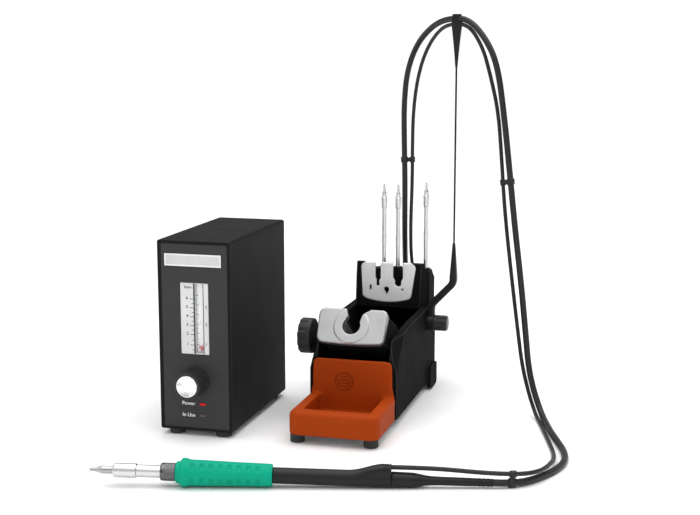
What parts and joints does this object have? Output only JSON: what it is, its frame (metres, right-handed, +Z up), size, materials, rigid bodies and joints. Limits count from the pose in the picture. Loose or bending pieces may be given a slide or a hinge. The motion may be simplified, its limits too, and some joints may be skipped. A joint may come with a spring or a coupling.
{
  "type": "soldering iron station",
  "caption": "Gas soldering station: flow control box with flow meter, tool stand with tray, tip extractor and cable mast, and a gripped handpiece on its cable and hose.",
  "frame": {"origin": "on the bench surface, under the middle of the set without its cords", "axes": "+X to the right, -Y to the front of the box and the stand, +Z up"},
  "size_m": [0.3134, 0.3858, 0.3241],
  "materials": {
    "case_paint": "fine matte powder coat",
    "panel_paint": "satin",
    "badge_metal": "brushed",
    "meter_metal": "satin",
    "tube_glass": "clear",
    "float_red": "gloss",
    "knob_black": "satin",
    "mirror_cap": "mirror",
    "brass": "turned",
    "steel": "turned",
    "valve_black": "semi-gloss",
    "board_green": "satin",
    "led_red": "gloss, lit",
    "led_dark": "gloss, unlit",
    "foot_rubber": "matte",
    "stand_black": "satin",
    "tray_orange": "soft matte",
    "holder_aluminium": "bead blasted",
    "cartridge_steel": "satin",
    "mast_black": "satin",
    "wire_black": "satin",
    "nozzle_metal": "satin nickel",
    "grip_green": "soft",
    "handle_black": "satin",
    "cord_black": "matte",
    "gas_tube": "gloss"
  },
  "bodies": {
    "root": {"case_cover": "case_paint", "chassis_frame": "steel", "front_panel": "panel_paint", "rear_panel": "panel_paint", "badge_plate": "badge_metal", "flowmeter_body": "meter_metal", "scale_plate": "meter_metal", "flow_tube": "tube_glass", "needle_valve": "brass", "power_led": "led_red", "in_use_led": "led_dark", "control_board": "board_green", "solenoid_valve": "valve_black", "inner_tubes": "gas_tube", "gas_fittings": "brass", "signal_socket": "knob_black", "box_screws": "steel", "box_feet": "foot_rubber", "base_plate": "steel", "stand_feet": "foot_rubber", "stand_body": "stand_black", "holder_pin": "steel", "extractor_block": "stand_black", "extractor_plate": "holder_aluminium", "cartridge_rack": "stand_black", "cable_socket": "stand_black", "hose_socket": "brass", "cable_plug": "handle_black", "hose_plug": "handle_black", "cord_clips": "mast_black", "cable_upper": "cord_black", "cable_floor": "cord_black", "hose_upper": "cord_black", "hose_floor": "cord_black"},
    "flow_knob": {"flow_knob": "knob_black", "knob_cap": "mirror_cap", "valve_stem": "steel"},
    "flow_float": {"flow_float": "float_red"},
    "tray": {"tray": "tray_orange"},
    "tool_holder": {"holder_plate": "holder_aluminium", "holder_carrier": "stand_black", "holder_sleeve": "steel"},
    "holder_knob": {"holder_knob": "knob_black", "holder_stud": "steel"},
    "spare_cartridge_1": {"spare_cartridge_1": "cartridge_steel"},
    "spare_cartridge_2": {"spare_cartridge_2": "cartridge_steel"},
    "spare_cartridge_3": {"spare_cartridge_3": "cartridge_steel"},
    "mast": {"mast_arm": "mast_black", "mast_wire": "wire_black", "mast_clip": "mast_black"},
    "mast_knob": {"mast_knob": "knob_black", "mast_stud": "steel"},
    "handpiece": {"gas_nozzle": "nozzle_metal", "nozzle_collar": "nozzle_metal", "grip": "grip_green", "contact_sleeve": "brass", "handle_body": "handle_black", "strain_relief": "cord_black", "hose_boss": "handle_black"},
    "tip_cartridge": {"tip_cartridge": "cartridge_steel"}
  },
  "joints": [
    {"name": "flow_knob_turn", "type": "hinge", "parent": "root", "child": "flow_knob", "pos_m": [-0.1058, -0.064, 0.0438], "axis": [0, -1, 0], "range_deg": [0, 1440]},
    {"name": "flow_float_rise", "type": "slide", "parent": "root", "child": "flow_float", "axis": [0, 0, 1], "range_m": [0, 0.041]},
    {"name": "tray_slide", "type": "slide", "parent": "root", "child": "tray", "axis": [0, -1, 0], "range_m": [0, 0.055]},
    {"name": "holder_tilt", "type": "hinge", "parent": "root", "child": "tool_holder", "pos_m": [0, 0.042, 0.064], "axis": [1, 0, 0], "range_deg": [-20, 6]},
    {"name": "holder_knob_turn", "type": "hinge", "parent": "root", "child": "holder_knob", "pos_m": [-0.045, 0.042, 0.064], "axis": [1, 0, 0], "range_deg": [0, 360]},
    {"name": "spare_cartridge_1_lift", "type": "slide", "parent": "root", "child": "spare_cartridge_1", "axis": [0, 0, 1], "range_m": [0, 0.05]},
    {"name": "spare_cartridge_2_lift", "type": "slide", "parent": "root", "child": "spare_cartridge_2", "axis": [0, 0, 1], "range_m": [0, 0.05]},
    {"name": "spare_cartridge_3_lift", "type": "slide", "parent": "root", "child": "spare_cartridge_3", "axis": [0, 0, 1], "range_m": [0, 0.05]},
    {"name": "mast_tilt", "type": "hinge", "parent": "root", "child": "mast", "pos_m": [0.0429, 0.128, 0.0613], "axis": [1, 0, 0], "range_deg": [-15, 15], "deforming": ["cable_upper", "hose_upper", "cord_clips"]},
    {"name": "mast_knob_turn", "type": "hinge", "parent": "root", "child": "mast_knob", "pos_m": [0.05, 0.128, 0.0613], "axis": [1, 0, 0], "range_deg": [0, 360]},
    {"name": "handpiece_lift", "type": "slide", "parent": "root", "child": "handpiece", "axis": [0, 0, 1], "range_m": [0, 0.08], "deforming": ["cable_floor", "hose_floor", "cord_clips"]},
    {"name": "tip_cartridge_pull", "type": "slide", "parent": "handpiece", "child": "tip_cartridge", "axis": [-0.969, -0.2452, 0.0288], "range_m": [0, 0.06]}
  ]
}
